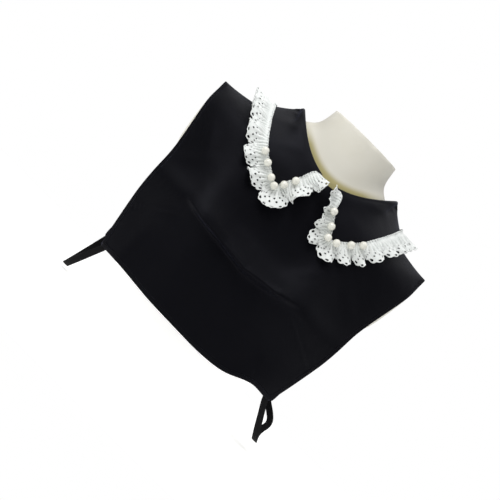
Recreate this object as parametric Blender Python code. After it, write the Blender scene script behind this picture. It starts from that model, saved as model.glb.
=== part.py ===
"""A half-shirt collar with a gathered lace edge and pearls, worn on a bust form.

Metres, +Z up and the front towards -Y. The origin is the middle of the form's flat underside.
"""

from collections import namedtuple
from math import cos, exp, pi, radians, sin

import bmesh
import bpy
from mathutils import Vector

for leftover in list(bpy.data.objects):
    bpy.data.objects.remove(leftover)

# Driving sizes of the form
SHOULDER_HALF = 0.168  # from the middle to the end of the shoulder's top line
SHOULDER_TIP_Z = 0.303
CREST_CURVE = 1.5  # how hollow the top line runs from the neck to the tip
APEX_X = 0.088
APEX_SPREAD = 0.034

# Driving sizes of the neckline, where the collar is sewn to the panels
NECK_HALF = 0.076
NECK_FRONT = 0.066
NECK_BACK = 0.058
NECK_FRONT_Z = 0.299
NECK_SIDE_Z = 0.322
NECK_BACK_Z = 0.332

# Cloth, seams and what is sewn on
CLOTH = 0.0015
SEAM = 0.0003
SHOULDER_SEAM = 0.016  # of the first section's way down, a fraction of a millimetre
COLLAR_CLOTH = 0.0016
LACE_WALL = 0.0010
PEARL_RADIUS = 0.005
STRAP_WIDTH = 0.009
STRAP_WALL = 0.0012
BUTTON_RADIUS = 0.0055
BUTTON_WALL = 0.0022
BUTTON_TAPER = 0.92

# Columns across each quarter: those that start on the neckline, then those on the shoulder
NECK_STEPS = 6
SHOULDER_STEPS = 8
NECK_COLUMN = NECK_STEPS / (NECK_STEPS + SHOULDER_STEPS)
NECK_SHARE = NECK_HALF / SHOULDER_HALF
COLUMNS = [i / (NECK_STEPS + SHOULDER_STEPS) for i in range(NECK_STEPS + SHOULDER_STEPS + 1)]

FRONT = -1
BACK = 1

# The form's sections, from under the neckline down to the base. Heights are at the middle of the
# front, the middle of the back and the side; bust is how far the apex stands out of the section.
Section = namedtuple("Section", "name front_z back_z side_z half_width front back roundness bust")
SECTIONS = [
    Section("upper chest", 0.284, 0.312, 0.292, 0.1735, 0.072, 0.064, 1.8, 0.000),
    Section("collar bone", 0.262, 0.285, 0.272, 0.1750, 0.079, 0.072, 2.2, 0.002),
    Section("arm cap", 0.235, 0.250, 0.245, 0.1715, 0.084, 0.078, 2.4, 0.006),
    Section("above the bust", 0.208, 0.211, 0.212, 0.1660, 0.088, 0.080, 2.4, 0.016),
    Section("bust slope", 0.190, 0.190, 0.190, 0.1500, 0.090, 0.079, 2.2, 0.030),
    Section("bust", 0.170, 0.170, 0.170, 0.1390, 0.092, 0.077, 2.2, 0.040),
    Section("under the bust", 0.150, 0.150, 0.150, 0.1340, 0.090, 0.075, 2.2, 0.036),
    Section("ribs", 0.128, 0.128, 0.128, 0.1290, 0.088, 0.074, 2.2, 0.020),
    Section("lower ribs", 0.100, 0.100, 0.100, 0.1220, 0.086, 0.073, 2.2, 0.004),
    Section("above the waist", 0.060, 0.060, 0.060, 0.1140, 0.082, 0.073, 2.2, 0.000),
    Section("waist", 0.025, 0.025, 0.025, 0.1095, 0.079, 0.073, 2.2, 0.000),
    Section("base", 0.000, 0.000, 0.000, 0.1080, 0.078, 0.073, 2.2, 0.000),
]
LAST = len(SECTIONS)
FORM_DOWN = [0, 1 / 3, 2 / 3, 1, 1.5, 2, 3, 4, 4.5, 5, 5.5, 6, 6.5, 7, 8, 9, 10, 11, LAST]

# The form's neck, from the neckline up to the flat cut
Ring = namedtuple("Ring", "name half_width front back front_z side_z back_z")
NECK_RINGS = [
    Ring("neckline", NECK_HALF, NECK_FRONT, NECK_BACK, NECK_FRONT_Z, NECK_SIDE_Z, NECK_BACK_Z),
    Ring("band foot", 0.0742, 0.0645, 0.0568, 0.3030, 0.3310, 0.3360),
    Ring("band edge", 0.0712, 0.0625, 0.0548, 0.3070, 0.3395, 0.3410),
    Ring("band top", 0.0660, 0.0590, 0.0515, 0.3100, 0.3425, 0.3440),
    Ring("neck root", 0.0600, 0.0560, 0.0485, 0.3170, 0.3470, 0.3490),
    Ring("lower neck", 0.0555, 0.0535, 0.0465, 0.3320, 0.3540, 0.3560),
    Ring("upper neck", 0.0535, 0.0515, 0.0450, 0.3550, 0.3650, 0.3660),
    Ring("cut", 0.0520, 0.0500, 0.0440, 0.3760, 0.3760, 0.3760),
]
SHOULDER_SLOPE = Ring("shoulder slope", 0.0690, 0.0610, 0.0530, 0.303, 0.333, 0.340)

# The panels, a row for the top line and for each section: reach is the panel's edge as a share of
# the form's half width, and the lifts are how far the cloth's inside lies off the form.
Hang = namedtuple("Hang", "reach middle apex edge")
FRONT_HANG = [
    Hang(1.035, 0.0012, 0.0010, 0.0006),
    Hang(0.985, 0.0014, 0.0011, 0.0020),
    Hang(0.965, 0.0015, 0.0010, 0.0040),
    Hang(0.943, 0.0025, 0.0015, 0.0055),
    Hang(0.925, 0.0040, 0.0015, 0.0080),
    Hang(0.910, 0.0080, 0.0018, 0.0250),
    Hang(0.900, 0.0170, 0.0020, 0.0350),
    Hang(0.900, 0.0240, 0.0060, 0.0380),
    Hang(0.900, 0.0260, 0.0160, 0.0410),
    Hang(0.900, 0.0260, 0.0240, 0.0440),
    Hang(0.900, 0.0260, 0.0260, 0.0440),
    Hang(0.900, 0.0260, 0.0260, 0.0440),
    Hang(0.900, 0.0260, 0.0260, 0.0440),
]
BACK_HANG = [
    Hang(1.035, 0.0006, 0.0006, 0.0006),
    Hang(0.985, 0.0008, 0.0007, 0.0020),
    Hang(0.965, 0.0010, 0.0010, 0.0030),
    Hang(0.945, 0.0012, 0.0012, 0.0050),
    Hang(0.930, 0.0015, 0.0020, 0.0080),
    Hang(0.920, 0.0030, 0.0040, 0.0220),
    Hang(0.910, 0.0050, 0.0070, 0.0320),
    Hang(0.910, 0.0070, 0.0090, 0.0350),
    Hang(0.910, 0.0080, 0.0110, 0.0400),
    Hang(0.910, 0.0090, 0.0130, 0.0460),
    Hang(0.910, 0.0090, 0.0140, 0.0550),
    Hang(0.910, 0.0090, 0.0140, 0.0600),
    Hang(0.910, 0.0090, 0.0140, 0.0600),
]
HANGS = {FRONT: FRONT_HANG, BACK: BACK_HANG}
REACHES = {face: [hang.reach for hang in HANGS[face]] for face in HANGS}
BARE = [1.0] * (LAST + 1)
APEX_SHARE = 0.68  # of the half width: where a Hang's apex lift is
LEAST_LIFT = 0.0005
SEARCH_STEPS = 20  # halvings when a place on a panel is looked up
LOW_ROW = 9.5  # about where the front hem runs, in sections down
UPPER_ROWS = [SHOULDER_SEAM, 1 / 3, 2 / 3, 1, 1.5, 2, 3, 4, 4.6]
BUST_ROWS = [5, 5.3, 5.6, 5.9, 6.15, 6.4, 6.65, 6.9, 7.3]
PANEL_DOWN = UPPER_ROWS + BUST_ROWS + [8, 9]
BACK_DOWN = UPPER_ROWS + [5.3, 6, 7, 8, 9]
BACK_COLUMNS = [-0.045, -0.018, 0.018, 0.045, 0.075, 0.11] + COLUMNS[2:]

# The front hem's height across, from the left corner to the right one, where it is caught up
HEM_X = [-0.140, -0.110, -0.050, 0.030, 0.062, 0.080, 0.096, 0.112, 0.140]
HEM_Z = [0.0550, 0.0545, 0.0495, 0.0475, 0.0490, 0.0530, 0.0610, 0.0670, 0.0640]
BACK_HEM_Z = 0.062

# The line between the two bust points where the front stands out, from left to right
BUST_LINE_X = [-0.100, -0.053, -0.020, 0.013, 0.047, 0.077, 0.095]
BUST_LINE_Z = [0.1780, 0.1720, 0.1660, 0.1590, 0.1625, 0.1730, 0.1770]
BUST_LINE_RAISE = 0.0040
BUST_LINE_ABOVE = 0.013
BUST_LINE_BELOW = 0.008

# The front panel's folds and darts: a ridge, or a groove where raise is under 0, between two places
Crease = namedtuple("Crease", "name x0 z0 x1 z1 spread raise_by")
CREASES = [
    Crease("left drag line", -0.080, 0.235, -0.098, 0.182, 0.010, 0.0022),
    Crease("right drag line", 0.074, 0.230, 0.090, 0.182, 0.012, 0.0014),
    Crease("left hanging fold", -0.098, 0.150, -0.112, 0.050, 0.013, 0.0035),
    Crease("right hem fold", 0.128, 0.080, 0.072, 0.052, 0.011, 0.0040),
    Crease("left dart", -0.146, 0.119, -0.097, 0.150, 0.007, -0.0012),
    Crease("right dart", 0.146, 0.128, 0.088, 0.156, 0.007, -0.0012),
]

# The collar's outer edge on the panels, from the point round to the middle of the back. The collar
# sits a little to the right, so its halves start at different turns and its points are moved over.
Edge = namedtuple("Edge", "turn face x z")
COLLAR_EDGE = [
    Edge(0, FRONT, 0.0420, 0.2475),
    Edge(16, FRONT, 0.0545, 0.2525),
    Edge(33, FRONT, 0.0695, 0.2625),
    Edge(48, FRONT, 0.0835, 0.2745),
    Edge(62, FRONT, 0.0960, 0.2875),
    Edge(76, FRONT, 0.1065, 0.3030),
    Edge(90, FRONT, 0.1120, None),
    Edge(103, BACK, 0.1080, 0.3100),
    Edge(116, BACK, 0.0975, 0.3020),
    Edge(130, BACK, 0.0800, 0.2950),
    Edge(145, BACK, 0.0560, 0.2910),
    Edge(162, BACK, 0.0280, 0.2890),
    Edge(179, BACK, 0.0015, 0.2880),
]
COLLAR_SHIFT = 0.0080
COLLAR_START = {-1: 6.0, 1: 12.5}
COLLAR_TURNS = [28, 38, 48, 57, 66, 74, 82, 90, 98, 106, 115, 125, 135, 145, 156, 168, 179]
FRONT_TURN = 60
FOLD_RADIUS = 0.0017
FRONT_RISE = 0.0040
SIDE_RISE = 0.0240
BACK_RISE = 0.0080
RISE_TURN = 32  # past the side, how far round the fold comes down to its height at the back
FALL_STEPS = [0.06, 0.14, 0.26, 0.42, 0.60, 0.80, 1.0]
STAND_STEPS = [0.0, 0.5, 0.9]
BACK_LAP = 0.0021  # the height of the back's upper edge over the lower one
LAP_REACH = 0.019
LAP_SLOPE = 0.009
SHOULDER_STAND = 0.0085  # how far the collar's edge stands off the shoulder

# The lace: its gather line lies inside the collar's edge, with a heading on the collar
GATHER_INSET = 0.0016
LACE_ACROSS = [-0.0040, 0.0, 0.0070, 0.0155, 0.0245]
LACE_STATIONS = 104
LACE_MEET = 0.0088  # where the two laces meet at the front, right of the middle
# Along the gather line: where one fan of the lace ends and the next begins, and the pitch after that
VALLEYS = {
    -1: [-0.0060, 0.0184, 0.0500, 0.0670, 0.0920, 0.1180, 0.1470],
    1: [-0.0060, 0.0140, 0.0340, 0.0550, 0.0655, 0.0790, 0.0980, 0.1130, 0.1345, 0.1550],
}
FAN_PITCH = {-1: 0.0290, 1: 0.0205}
WAVE_HEIGHT = {-1: 0.0090, 1: 0.0075}
FRONT_TILT = {-1: 18, 1: 54}  # degrees that the lace stands up along the collar's front edge
TILT_EASE = (0.034, 0.058)
HEADING_LIFT = 0.0011
PEARL_INSET = 0.0006  # how far the pearls lie inside the gather line
SHOULDER_LIFT = 0.0014
PEARLS_AT = {
    -1: [0.0345, 0.0490, 0.0612, 0.0755, 0.0905, 0.1065],
    1: [0.0300, 0.0480, 0.0610, 0.0765, 0.0935, 0.1090],
}


def finish(name, colour, roughness, metallic=0.0):
    """A plain material of that colour."""
    made = bpy.data.materials.new(name)
    made.use_nodes = True
    shader = made.node_tree.nodes["Principled BSDF"]
    shader.inputs["Base Color"].default_value = (*colour, 1.0)
    shader.inputs["Roughness"].default_value = roughness
    shader.inputs["Metallic"].default_value = metallic
    return made


LINEN = finish("cream form cloth", (0.80, 0.78, 0.71), 0.85)
BLACK_CLOTH = finish("black suiting", (0.008, 0.008, 0.011), 0.75)
LACE = finish("white lace", (0.88, 0.88, 0.90), 0.80)
PEARL = finish("ivory pearl", (0.84, 0.83, 0.76), 0.25)
ELASTIC = finish("black elastic", (0.010, 0.010, 0.012), 0.85)
BUTTON = finish("black button", (0.010, 0.010, 0.010), 0.35)


def ease(share):
    """0 to 1 with level ends."""
    share = min(1.0, max(0.0, share))
    return share * share * (3 - 2 * share)


def between(xs, ys, x):
    """The value at x on straight lines through the listed points."""
    for i in range(len(xs) - 1):
        if x <= xs[i + 1] or i == len(xs) - 2:
            share = min(1.0, max(0.0, (x - xs[i]) / (xs[i + 1] - xs[i])))
            return ys[i] + (ys[i + 1] - ys[i]) * share
    return ys[-1]


def curve_through(before, a, b, after, share):
    """A smooth curve from a to b, by the points or numbers on each side of them."""
    square, cube = share**2, share**3
    return (
        a * 2
        + (b - before) * share
        + (before * 2 - a * 5 + b * 4 - after) * square
        + (a * 3 - before - b * 3 + after) * cube
    ) * 0.5


def column_share(column):
    """How far out a column lies, as a share of the half width."""
    if column <= NECK_COLUMN:
        return NECK_SHARE * column / NECK_COLUMN
    return NECK_SHARE + (1 - NECK_SHARE) * sin(
        (column - NECK_COLUMN) / (1 - NECK_COLUMN) * pi / 2
    )


def ring_point(ring, face, turn):
    """A point of a neck ring, turn degrees round from the middle of that face."""
    a = radians(turn)
    depth, middle_z = (ring.front, ring.front_z) if face == FRONT else (ring.back, ring.back_z)
    return Vector(
        (
            ring.half_width * sin(a),
            face * depth * cos(a),
            ring.side_z + (middle_z - ring.side_z) * cos(a) ** 2,
        )
    )


def top_point(face, column, reach):
    """The top line: the neckline, and then the top of the shoulder."""
    if column <= NECK_COLUMN:
        return ring_point(NECK_RINGS[0], face, 90 * column / NECK_COLUMN)
    out = (column_share(column) - NECK_SHARE) / (1 - NECK_SHARE)
    x = NECK_HALF + (SHOULDER_HALF * reach - NECK_HALF) * out
    rise = max(0.0, (SHOULDER_HALF - x) / (SHOULDER_HALF - NECK_HALF)) ** CREST_CURVE
    return Vector((x, 0.0, SHOULDER_TIP_Z + (NECK_SIDE_Z - SHOULDER_TIP_Z) * rise))


def section_point(face, index, column, reach):
    """A point of one section, or of the top line where index is 0."""
    if index == 0:
        return top_point(face, column, reach)
    part = SECTIONS[min(index, LAST) - 1]
    share = column_share(column) * min(reach, 1.0)
    x = part.half_width * share
    depth, middle_z = (part.front, part.front_z) if face == FRONT else (part.back, part.back_z)
    y = depth * max(0.0, 1 - share**part.roundness) ** (1 / part.roundness)
    if face == FRONT:
        y += part.bust * exp(-(((x - APEX_X) / APEX_SPREAD) ** 2)) * (1 - share**6)
    return Vector((x, face * y, middle_z + (part.side_z - middle_z) * share**2))


def before_top(face, column, reaches):
    """What the surface runs on to above the top line: the neck, or the other side of the shoulder."""
    over = ease(column / NECK_COLUMN)
    slope = ring_point(SHOULDER_SLOPE, face, 90 * min(1.0, column / NECK_COLUMN))
    other = section_point(-face, 1, column, reaches[1])
    return slope * (1 - over) + other * over


def surface_point(face, column, down, reaches):
    """The form's surface at a column, down sections below the top line."""
    i = min(int(down), LAST - 1)
    points = [section_point(face, i + k, column, reaches[min(i + k, LAST)]) for k in (0, 1)]
    before = (
        section_point(face, i - 1, column, reaches[i - 1])
        if i
        else before_top(face, column, reaches)
    )
    after = (
        section_point(face, i + 2, column, reaches[i + 2])
        if i + 2 <= LAST
        else points[1] * 2 - points[0]
    )
    return curve_through(before, *points, after, down - i)


NORMAL_STEP = 0.02
WELD = 0.00002


def outward(face, column, down, reaches):
    """The way off the form: its normal, level below the shoulder so that the cloth's rows stay level."""
    low = max(down, 1.0)
    step = NORMAL_STEP
    left, right = max(0.0, column - step), min(1.0, column + step)
    across = surface_point(face, right, low, reaches) - surface_point(face, left, low, reaches)
    along = surface_point(face, column, low + step, reaches) - surface_point(
        face, column, low - step, reaches
    )
    normal = (along.cross(across) * -face).normalized()
    if column < step:
        normal.x = 0.0
    normal.z *= 1 - ease((down - 1.5) / 1.5)
    if down < 1:
        turn = pi / 2 * min(1.0, column / NECK_COLUMN)
        at_front = Vector((0.0, face * 0.9, 0.42))
        at_shoulder = Vector((0.2, 0.0, 1.0))
        top = (at_front * cos(turn) + at_shoulder * sin(turn)).normalized()
        normal = top * (1 - down) + normal.normalized() * down
    return normal.normalized()


def hang_at(face, column, down):
    """How far the panel's inside lies off the form."""
    share = column_share(column)

    def across(hang):
        if share < APEX_SHARE:
            return hang.middle + (hang.apex - hang.middle) * (share / APEX_SHARE) ** 3
        past = (share - APEX_SHARE) / (1 - APEX_SHARE)
        return hang.apex + (hang.edge - hang.apex) * past**1.3

    hangs = HANGS[face]
    i = min(int(down), LAST - 1)
    picked = [across(hangs[min(LAST, max(0, i + k))]) for k in (-1, 0, 1, 2)]
    return max(LEAST_LIFT, curve_through(*picked, down - i))


def bust_line_at(x, z):
    """How far the line across the bust moves the front panel outwards there."""
    above = z - between(BUST_LINE_X, BUST_LINE_Z, x)
    spread = BUST_LINE_ABOVE if above > 0 else BUST_LINE_BELOW
    return BUST_LINE_RAISE * exp(-((above / spread) ** 2)) * ease((0.112 - abs(x)) / 0.040)


def crease_at(x, z):
    """How far the front panel's folds and darts move it outwards there."""
    total = bust_line_at(x, z)
    for crease in CREASES:
        run = Vector((crease.x1 - crease.x0, crease.z1 - crease.z0))
        place = Vector((x - crease.x0, z - crease.z0))
        share = min(1.0, max(0.0, place.dot(run) / run.length_squared))
        away = (place - run * share).length
        fade = 1.0 if crease.raise_by < 0 else ease(4 * share) * ease(4 * (1.15 - share))
        total += crease.raise_by * fade * exp(-((away / crease.spread) ** 2))
    return total


def cloth_point(face, column, down, side, off=0.0):
    """A panel's inside surface, or off metres outside it. Column may be under 0, past the middle."""
    if column < 0:
        column, side = -column, -side
    way = outward(face, column, down, REACHES[face])
    point = surface_point(face, column, down, REACHES[face]) + way * hang_at(face, column, down)
    point.x *= side
    way.x *= side
    if face == FRONT:
        point += way * crease_at(point.x, point.z)
    return point + way * off


def down_at(face, column, height):
    """How many sections down the panel is at that height, below the shoulder."""
    low, high = 1.0, float(LAST)
    for _ in range(SEARCH_STEPS):
        middle = (low + high) / 2
        if surface_point(face, column, middle, REACHES[face]).z > height:
            low = middle
        else:
            high = middle
    return low


def column_at(face, down, x):
    """The column where the panel's outside is at x, that many sections down."""
    low, high = 0.0, 1.0
    for _ in range(SEARCH_STEPS):
        middle = (low + high) / 2
        if cloth_point(face, middle, down, 1, CLOTH).x < x:
            low = middle
        else:
            high = middle
    return low


def place_on(face, x, z):
    """The column and the sections down where the panel's outside lies at that x and height."""
    low, high = 0.0, 6.0
    for _ in range(SEARCH_STEPS):
        down = (low + high) / 2
        if cloth_point(face, column_at(face, down, x), down, 1, CLOTH).z > z:
            low = down
        else:
            high = down
    return column_at(face, down, x), down


def shade(mesh):
    """Smooth shading, sharp at rims."""
    mesh.shade_smooth()
    mesh.set_sharp_from_angle(angle=radians(50))


def sheet(name, rows, thickness, material, offset=0.0, facing=None):
    """A wall of cloth on a grid of points. With offset 1 it grows to the side that facing points to."""
    mesh = bpy.data.meshes.new(name)
    maker = bmesh.new()
    across, down = len(rows[0]), len(rows)
    bmesh.ops.create_grid(maker, x_segments=across - 1, y_segments=down - 1, size=0.5)
    maker.verts.ensure_lookup_table()
    for index, vertex in enumerate(maker.verts):
        vertex.co = rows[index // across][index % across]
    maker.normal_update()
    if facing is not None:
        if sum(face.normal.dot(facing) for face in maker.faces) < 0:
            bmesh.ops.reverse_faces(maker, faces=maker.faces)
    maker.to_mesh(mesh)
    maker.free()
    made = bpy.data.objects.new(name, mesh)
    bpy.context.scene.collection.objects.link(made)
    mesh.materials.append(material)
    wall = made.modifiers.new("wall", "SOLIDIFY")
    wall.thickness = thickness
    wall.offset = offset
    wall.use_even_offset = True
    shade(mesh)
    return made


def grid_faces(maker, rows):
    """Quads between rows of points, added to the mesh being made."""
    made = [[maker.verts.new(point) for point in row] for row in rows]
    for upper, lower in zip(made, made[1:]):
        for i in range(len(upper) - 1):
            maker.faces.new((upper[i], upper[i + 1], lower[i + 1], lower[i]))


def mirrored(row):
    """A row from the middle out, with its left half put before it."""
    left = [Vector((-point.x, point.y, point.z)) for point in reversed(row[1:])]
    return left + row


def make_form():
    """The bust form: torso, arm caps and neck in one solid, flat under the waist and at the neck's cut."""
    maker = bmesh.new()
    for face in (FRONT, BACK):
        rows = [
            mirrored([surface_point(face, column, down, BARE) for column in COLUMNS])
            for down in FORM_DOWN
        ]
        grid_faces(maker, rows)
        turns = [90 * i / NECK_STEPS for i in range(NECK_STEPS + 1)]
        grid_faces(
            maker, [mirrored([ring_point(ring, face, turn) for turn in turns]) for ring in NECK_RINGS]
        )
    bmesh.ops.remove_doubles(maker, verts=maker.verts, dist=WELD)
    open_edges = [edge for edge in maker.edges if edge.is_boundary]
    bmesh.ops.holes_fill(maker, edges=open_edges, sides=0)
    bmesh.ops.recalc_face_normals(maker, faces=maker.faces)
    mesh = bpy.data.meshes.new("dress_form")
    maker.to_mesh(mesh)
    maker.free()
    mesh.materials.append(LINEN)
    bpy.context.scene.collection.objects.link(bpy.data.objects.new("dress_form", mesh))
    shade(mesh)


def make_front():
    """The front panel, in one piece from shoulder to shoulder, with a dart to each side."""
    rows = []
    signed = [-c for c in reversed(COLUMNS[1:])] + COLUMNS
    for down in PANEL_DOWN:
        rows.append([cloth_point(FRONT, column, down, 1) for column in signed])
    last = []
    for column in signed:
        x = cloth_point(FRONT, column, LOW_ROW, 1).x
        last.append(cloth_point(FRONT, column, hem_down(FRONT, column, x), 1))
    rows.append(last)
    sheet("front_panel", rows, CLOTH, BLACK_CLOTH, 1.0, Vector((0, -1, 0.2)))


def hem_down(face, column, x):
    """How many sections down the hem lies at that column."""
    height = between(HEM_X, HEM_Z, x) if face == FRONT else BACK_HEM_Z
    return down_at(face, abs(column), height)


def lap_lift(x, over):
    """How far the upper of the two back edges is raised over the lower one."""
    return BACK_LAP * ease((LAP_REACH - x) / LAP_SLOPE) if over else 0.0


def make_back(name, side, over):
    """Half of the back. The two halves open down the middle, and the upper one carries the buttons."""
    rows = []
    for down in [*BACK_DOWN, None]:
        row = []
        for column in BACK_COLUMNS:
            depth = hem_down(BACK, column, 0.0) if down is None else down
            own_x = cloth_point(BACK, column, depth, side).x * side
            row.append(cloth_point(BACK, column, depth, side, lap_lift(own_x, over)))
        rows.append(row)
    sheet(name, rows, CLOTH, BLACK_CLOTH, 1.0, Vector((0, 1, 0.2)))


def edge_places(side):
    """Where each row of COLLAR_EDGE lies on its panel: its column and its sections down."""
    made = []
    for edge in COLLAR_EDGE:
        if edge.z is None:
            made.append((column_at(FRONT, 0.0, edge.x), 0.0))
            continue
        shift = side * COLLAR_SHIFT * max(0.0, cos(radians(edge.turn))) ** 2
        made.append(place_on(edge.face, edge.x + shift, edge.z))
    return made


EDGE_PLACES = {side: edge_places(side) for side in (-1, 1)}
EDGE_TURNS = [edge.turn for edge in COLLAR_EDGE]


def collar_frame(side, turn):
    """For one turn round the neckline: the face, the column there, and where the collar's edge lies."""
    face = FRONT if turn <= 90 else BACK
    column = NECK_COLUMN * (turn if face == FRONT else 180 - turn) / 90
    start = COLLAR_START[side]
    listed = turn if turn > FRONT_TURN else FRONT_TURN * (turn - start) / (FRONT_TURN - start)
    places = EDGE_PLACES[side]
    edge_column = between(EDGE_TURNS, [place[0] for place in places], listed)
    edge_down = between(EDGE_TURNS, [place[1] for place in places], listed)
    return face, column, edge_column, edge_down


def back_lap(turn):
    """How far the collar is raised where it lies over the back's lapped edges."""
    return BACK_LAP * ease((turn - 150) / 15)


def collar_base(side, turn, share):
    """A point under the collar's fall, share of the way to its edge, which stands off the shoulder."""
    face, column, edge_column, edge_down = collar_frame(side, turn)
    here = column + (edge_column - column) * share
    lift = SEAM + COLLAR_CLOTH / 2 + SHOULDER_STAND * sin(radians(turn)) ** 4 + back_lap(turn)
    return cloth_point(face, here, edge_down * share, 1, CLOTH + lift)


def stand_base(side, turn):
    """The bottom of the collar's stand, just off the panel's neckline edge."""
    face, column, _, _ = collar_frame(side, turn)
    return cloth_point(face, column, 0.02, 1, CLOTH + SEAM + COLLAR_CLOTH / 2 + back_lap(turn))


def fold_rise(turn):
    """How high the collar's fold stands over the neckline."""
    if turn <= 90:
        return FRONT_RISE + (SIDE_RISE - FRONT_RISE) * sin(radians(turn)) ** 2
    return BACK_RISE + (SIDE_RISE - BACK_RISE) * max(0.0, 1 - (turn - 90) / RISE_TURN) ** 1.5


def radial(turn):
    """Level, away from the neck."""
    a = radians(turn)
    return Vector((sin(a) * NECK_HALF, -cos(a) * (NECK_FRONT + NECK_BACK) / 2, 0)).normalized()


def collar_point(side, turn, share):
    """The middle of the collar's wall in the fall, from the fold at 0 to the edge at 1."""
    start = stand_base(side, turn) + Vector((0, 0, fold_rise(turn) - 0.002))
    start += radial(turn) * (2 * FOLD_RADIUS + 0.0030 * sin(radians(turn)) ** 2)
    hold = start - collar_base(side, turn, 0.0)
    return collar_base(side, turn, share) + hold * (1 - share) ** 1.25


def collar_section(side, turn):
    """Points down one section of a collar half: up the stand, over the fold and down the fall."""
    foot = stand_base(side, turn)
    outer = collar_point(side, turn, 0.0)
    inner = outer - radial(turn) * 2 * FOLD_RADIUS
    points = [foot + (inner - foot) * share for share in STAND_STEPS]
    middle = (outer + inner) / 2
    for step in range(5):
        a = pi * step / 4
        over = Vector((0, 0, FOLD_RADIUS * sin(a)))
        points.append(middle - radial(turn) * FOLD_RADIUS * cos(a) + over)
    return points + [collar_point(side, turn, share) for share in FALL_STEPS]


def on_side(points, side):
    """The points, or their mirror image."""
    return [Vector((point.x * side, point.y, point.z)) for point in points]


def make_collar(name, side):
    """Half of the collar: a low stand folded over into a fall with a point at the front."""
    start = COLLAR_START[side]
    turns = [start, (start + COLLAR_TURNS[0]) / 2] + COLLAR_TURNS
    rows = [on_side(collar_section(side, turn), side) for turn in turns]
    sheet(name, rows, COLLAR_CLOTH, BLACK_CLOTH)


def collar_normal(side, turn, share):
    """The way out of the collar's fall."""
    low = max(COLLAR_START[side], turn - 1.5)
    high = min(179.0, turn + 1.5)
    across = collar_point(side, high, share) - collar_point(side, low, share)
    near = max(0.0, share - 0.02)
    far = min(1.0, share + 0.02)
    along = collar_point(side, turn, far) - collar_point(side, turn, near)
    return across.cross(along).normalized() * -1


def spaced(points, normals, count):
    """The line again as count points evenly apart, with its normals, and the line's length."""
    lengths = [0.0]
    for a, b in zip(points, points[1:]):
        lengths.append(lengths[-1] + (b - a).length)
    made = []
    i = 0
    for k in range(count):
        want = lengths[-1] * k / (count - 1)
        while i < len(points) - 2 and lengths[i + 1] < want:
            i += 1
        share = (want - lengths[i]) / max(1e-9, lengths[i + 1] - lengths[i])
        normal = normals[i].lerp(normals[i + 1], share).normalized()
        made.append((points[i].lerp(points[i + 1], share), normal))
    return made, lengths[-1]


FINE_STEPS = 261
ROUNDING = 3  # of the fine steps each way, so the gather line turns softly round the collar's point


def gather_line(side):
    """Where the lace is gathered onto a collar half: down the front edge, round the point, to the back."""
    start = COLLAR_START[side]
    width = (collar_point(side, start, 1.0) - collar_point(side, start, 0.0)).length
    inner = 1 - GATHER_INSET / width
    places = []
    for i in range(10):
        share = 0.02 + (inner - 0.02) * i / 9
        places.append((start + 0.9 + 1.4 * share, share))
    places += [(start + 2.3 + (176.2 - start) * i / 29, inner) for i in range(1, 30)]
    points = [collar_point(side, *place) for place in places]
    normals = [collar_normal(side, *place) for place in places]
    fine, _ = spaced(points, normals, FINE_STEPS)
    soft_points, soft_normals = [], []
    for i in range(len(fine)):
        window = min(ROUNDING, i, len(fine) - 1 - i)
        near = fine[i - window : i + window + 1]
        soft_points.append(sum((place for place, _ in near), Vector()) / len(near))
        soft_normals.append(sum((normal for _, normal in near), Vector()).normalized())
    return spaced(soft_points, soft_normals, LACE_STATIONS)


def lace_frames(side):
    """For each station of the gather line: the way along, place, way out, normal, room and tilt."""
    stations, length = gather_line(side)
    made = []
    for i, (place, normal) in enumerate(stations):
        before = stations[max(0, i - 2)][0]
        after = stations[min(len(stations) - 1, i + 2)][0]
        away = (after - before).cross(normal).normalized()
        along = length * i / (len(stations) - 1)
        turned_up = max(0.0, 1 - along / 0.018) * 0.45
        away = (away + Vector((0, 0, turned_up))).normalized()
        flattened = ease((along - TILT_EASE[0]) / (TILT_EASE[1] - TILT_EASE[0]))
        tilt = radians(FRONT_TILT[side]) * (1 - flattened)
        reach = PEARL_RADIUS + (LACE_ACROSS[-1] - PEARL_RADIUS) * cos(tilt)
        room = (place.x - side * LACE_MEET - 4 * SEAM) / max(0.1, -away.x)
        share = min(1.0, room / reach) if place.y < 0 else 1.0
        made.append((along, place, away, normal, share, tilt))
    return made


def fans_before(side, along):
    """How many fans of the lace there are before a place along its gather line."""
    valleys = VALLEYS[side]
    for i, (near, far) in enumerate(zip(valleys, valleys[1:])):
        if along < far:
            return i + (along - near) / (far - near)
    return len(valleys) - 1 + (along - valleys[-1]) / FAN_PITCH[side]


def wave_at(side, along, across):
    """How high the gathered lace stands over its flat run."""
    swing = 0.5 - 0.5 * cos(2 * pi * fans_before(side, along))
    outer = max(0.0, across) / LACE_ACROSS[-1]
    heading = min(0.0, across) / LACE_ACROSS[0]
    return WAVE_HEIGHT[side] * outer**0.85 * swing + HEADING_LIFT * heading * (1.6 - swing)


def make_lace(name, side, frames):
    """The gathered lace edging of one collar half."""
    rise = COLLAR_CLOTH / 2 + 2 * SEAM + LACE_WALL / 2
    rows = []
    for along, place, away, normal, room, tilt in frames:
        row = []
        for across in LACE_ACROSS:
            flat = min(across, PEARL_RADIUS)
            lean = tilt if across > flat else 0.0
            out = away * cos(lean) + normal * sin(lean)
            off = normal * cos(lean) - away * sin(lean)
            high = rise + SHOULDER_LIFT * max(0.0, normal.z) ** 4
            wave = wave_at(side, along, across) * room
            narrowed = room if across > 0 else 1.0
            run = (away * flat + out * (across - flat)) * narrowed
            row.append(place + normal * high + run + off * wave)
        rows.append(on_side(row, side))
    sheet(name, rows, LACE_WALL, LACE)


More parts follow.
